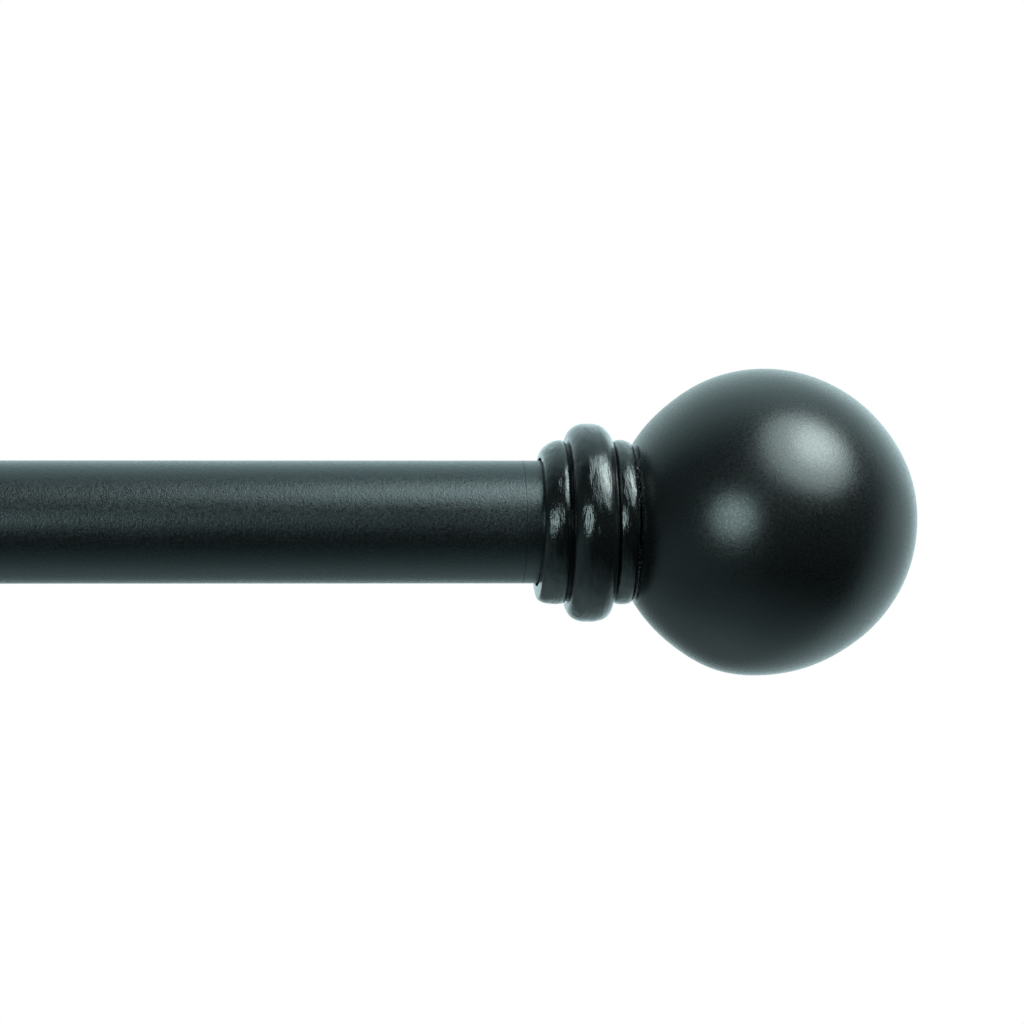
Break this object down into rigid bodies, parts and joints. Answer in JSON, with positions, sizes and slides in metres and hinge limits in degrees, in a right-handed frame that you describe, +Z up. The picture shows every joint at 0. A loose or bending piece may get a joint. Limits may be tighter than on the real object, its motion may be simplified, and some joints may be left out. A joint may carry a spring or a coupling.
{
  "type": "adjustable curtain rod with wall brackets",
  "caption": "Telescoping black curtain rod with turned ball finials, resting in two adjustable wall brackets with cradles.",
  "frame": {"origin": "on the wall plane, midway between the two brackets, level with the rod's axis", "axes": "+X along the rod towards the finial on the large tube, +Y into the wall, +Z up"},
  "size_m": [0.8098, 0.1246, 0.064],
  "materials": {
    "tube_paint": "satin black powder coat on steel tube, fine eggshell grain",
    "finial_lacquer": "satin black lacquer on cast resin, slightly glossier in the turned beads",
    "bracket_coat": "satin black powder coat on folded steel",
    "plug_plastic": "moulded black plastic",
    "glide_nylon": "natural nylon",
    "anchor_plastic": "moulded grey plastic",
    "zinc_plate": "bright zinc plate",
    "black_steel": "blackened steel"
  },
  "bodies": {
    "wall_plates": {"right_wall_plate": "bracket_coat", "left_wall_plate": "bracket_coat", "right_wall_screw_upper": "black_steel", "right_wall_screw_lower": "black_steel", "left_wall_screw_upper": "black_steel", "left_wall_screw_lower": "black_steel", "right_wall_anchor_upper": "anchor_plastic", "right_wall_anchor_lower": "anchor_plastic", "left_wall_anchor_upper": "anchor_plastic", "left_wall_anchor_lower": "anchor_plastic", "right_clamp_nut": "black_steel", "left_clamp_nut": "black_steel"},
    "right_clamp": {"right_clamp_screw": "black_steel"},
    "left_clamp": {"left_clamp_screw": "black_steel"},
    "right_arm": {"right_bracket_arm": "bracket_coat", "right_thumbscrew_bush": "black_steel"},
    "left_arm": {"left_bracket_arm": "bracket_coat", "left_thumbscrew_bush": "black_steel"},
    "right_thumb_shank": {"right_thumbscrew_shank": "zinc_plate"},
    "left_thumb_shank": {"left_thumbscrew_shank": "zinc_plate"},
    "right_thumb_head": {"right_thumbscrew_head": "black_steel"},
    "left_thumb_head": {"left_thumbscrew_head": "black_steel"},
    "rod": {"outer_tube": "tube_paint", "outer_tube_end_plug": "plug_plastic"},
    "inner_rod": {"inner_tube": "tube_paint", "inner_tube_end_plug": "plug_plastic", "inner_tube_glide": "glide_nylon"},
    "right_stud": {"right_finial_stud": "zinc_plate"},
    "left_stud": {"left_finial_stud": "zinc_plate"},
    "right_finial": {"right_finial_collar": "finial_lacquer", "right_finial_ball": "finial_lacquer"},
    "left_finial": {"left_finial_collar": "finial_lacquer", "left_finial_ball": "finial_lacquer"}
  },
  "joints": [
    {"name": "right_projection", "type": "slide", "parent": "wall_plates", "child": "right_arm", "axis": [0, -1, 0], "range_m": [-0.0127, 0.0127]},
    {"name": "left_projection", "type": "slide", "parent": "wall_plates", "child": "left_arm", "axis": [0, -1, 0], "range_m": [-0.0127, 0.0127]},
    {"name": "right_clamp_turn", "type": "hinge", "parent": "wall_plates", "child": "right_clamp", "pos_m": [0.254, -0.0332, 0.0053], "axis": [0, 0, 1], "range_deg": [0, 540]},
    {"name": "left_clamp_turn", "type": "hinge", "parent": "wall_plates", "child": "left_clamp", "pos_m": [-0.254, -0.0332, 0.0053], "axis": [0, 0, 1], "range_deg": [0, 540]},
    {"name": "rod_lift", "type": "slide", "parent": "right_arm", "child": "rod", "axis": [0, 0, 1], "range_m": [0, 0.03]},
    {"name": "telescope", "type": "slide", "parent": "rod", "child": "inner_rod", "axis": [-1, 0, 0], "range_m": [0, 0.508]},
    {"name": "right_thumb_travel", "type": "slide", "parent": "right_arm", "child": "right_thumb_shank", "axis": [0, -1, 0], "range_m": [0, 0.0035]},
    {"name": "right_thumb_turn", "type": "hinge", "parent": "right_thumb_shank", "child": "right_thumb_head", "pos_m": [0.254, -0.0865, 0.001], "axis": [0, -1, 0], "range_deg": [0, 1800]},
    {"name": "left_thumb_travel", "type": "slide", "parent": "left_arm", "child": "left_thumb_shank", "axis": [0, -1, 0], "range_m": [0, 0.0035]},
    {"name": "left_thumb_turn", "type": "hinge", "parent": "left_thumb_shank", "child": "left_thumb_head", "pos_m": [-0.254, -0.0865, 0.001], "axis": [0, -1, 0], "range_deg": [0, 1800]},
    {"name": "right_finial_travel", "type": "slide", "parent": "rod", "child": "right_stud", "axis": [1, 0, 0], "range_m": [0, 0.00775]},
    {"name": "right_finial_turn", "type": "hinge", "parent": "right_stud", "child": "right_finial", "pos_m": [0.3556, -0.0762, 0], "axis": [1, 0, 0], "range_deg": [0, 2790]},
    {"name": "left_finial_travel", "type": "slide", "parent": "inner_rod", "child": "left_stud", "axis": [-1, 0, 0], "range_m": [0, 0.00775]},
    {"name": "left_finial_turn", "type": "hinge", "parent": "left_stud", "child": "left_finial", "pos_m": [-0.3556, -0.0762, 0], "axis": [-1, 0, 0], "range_deg": [0, 2790]}
  ],
  "couplings": [
    {"joint": "left_projection", "follows": "right_projection", "ratio": 1},
    {"joint": "right_thumb_turn", "follows": "right_thumb_travel", "rad_per_m": 8976},
    {"joint": "left_thumb_turn", "follows": "left_thumb_travel", "rad_per_m": 8976},
    {"joint": "right_finial_turn", "follows": "right_finial_travel", "rad_per_m": 6283.2},
    {"joint": "left_finial_turn", "follows": "left_finial_travel", "rad_per_m": 6283.2}
  ]
}
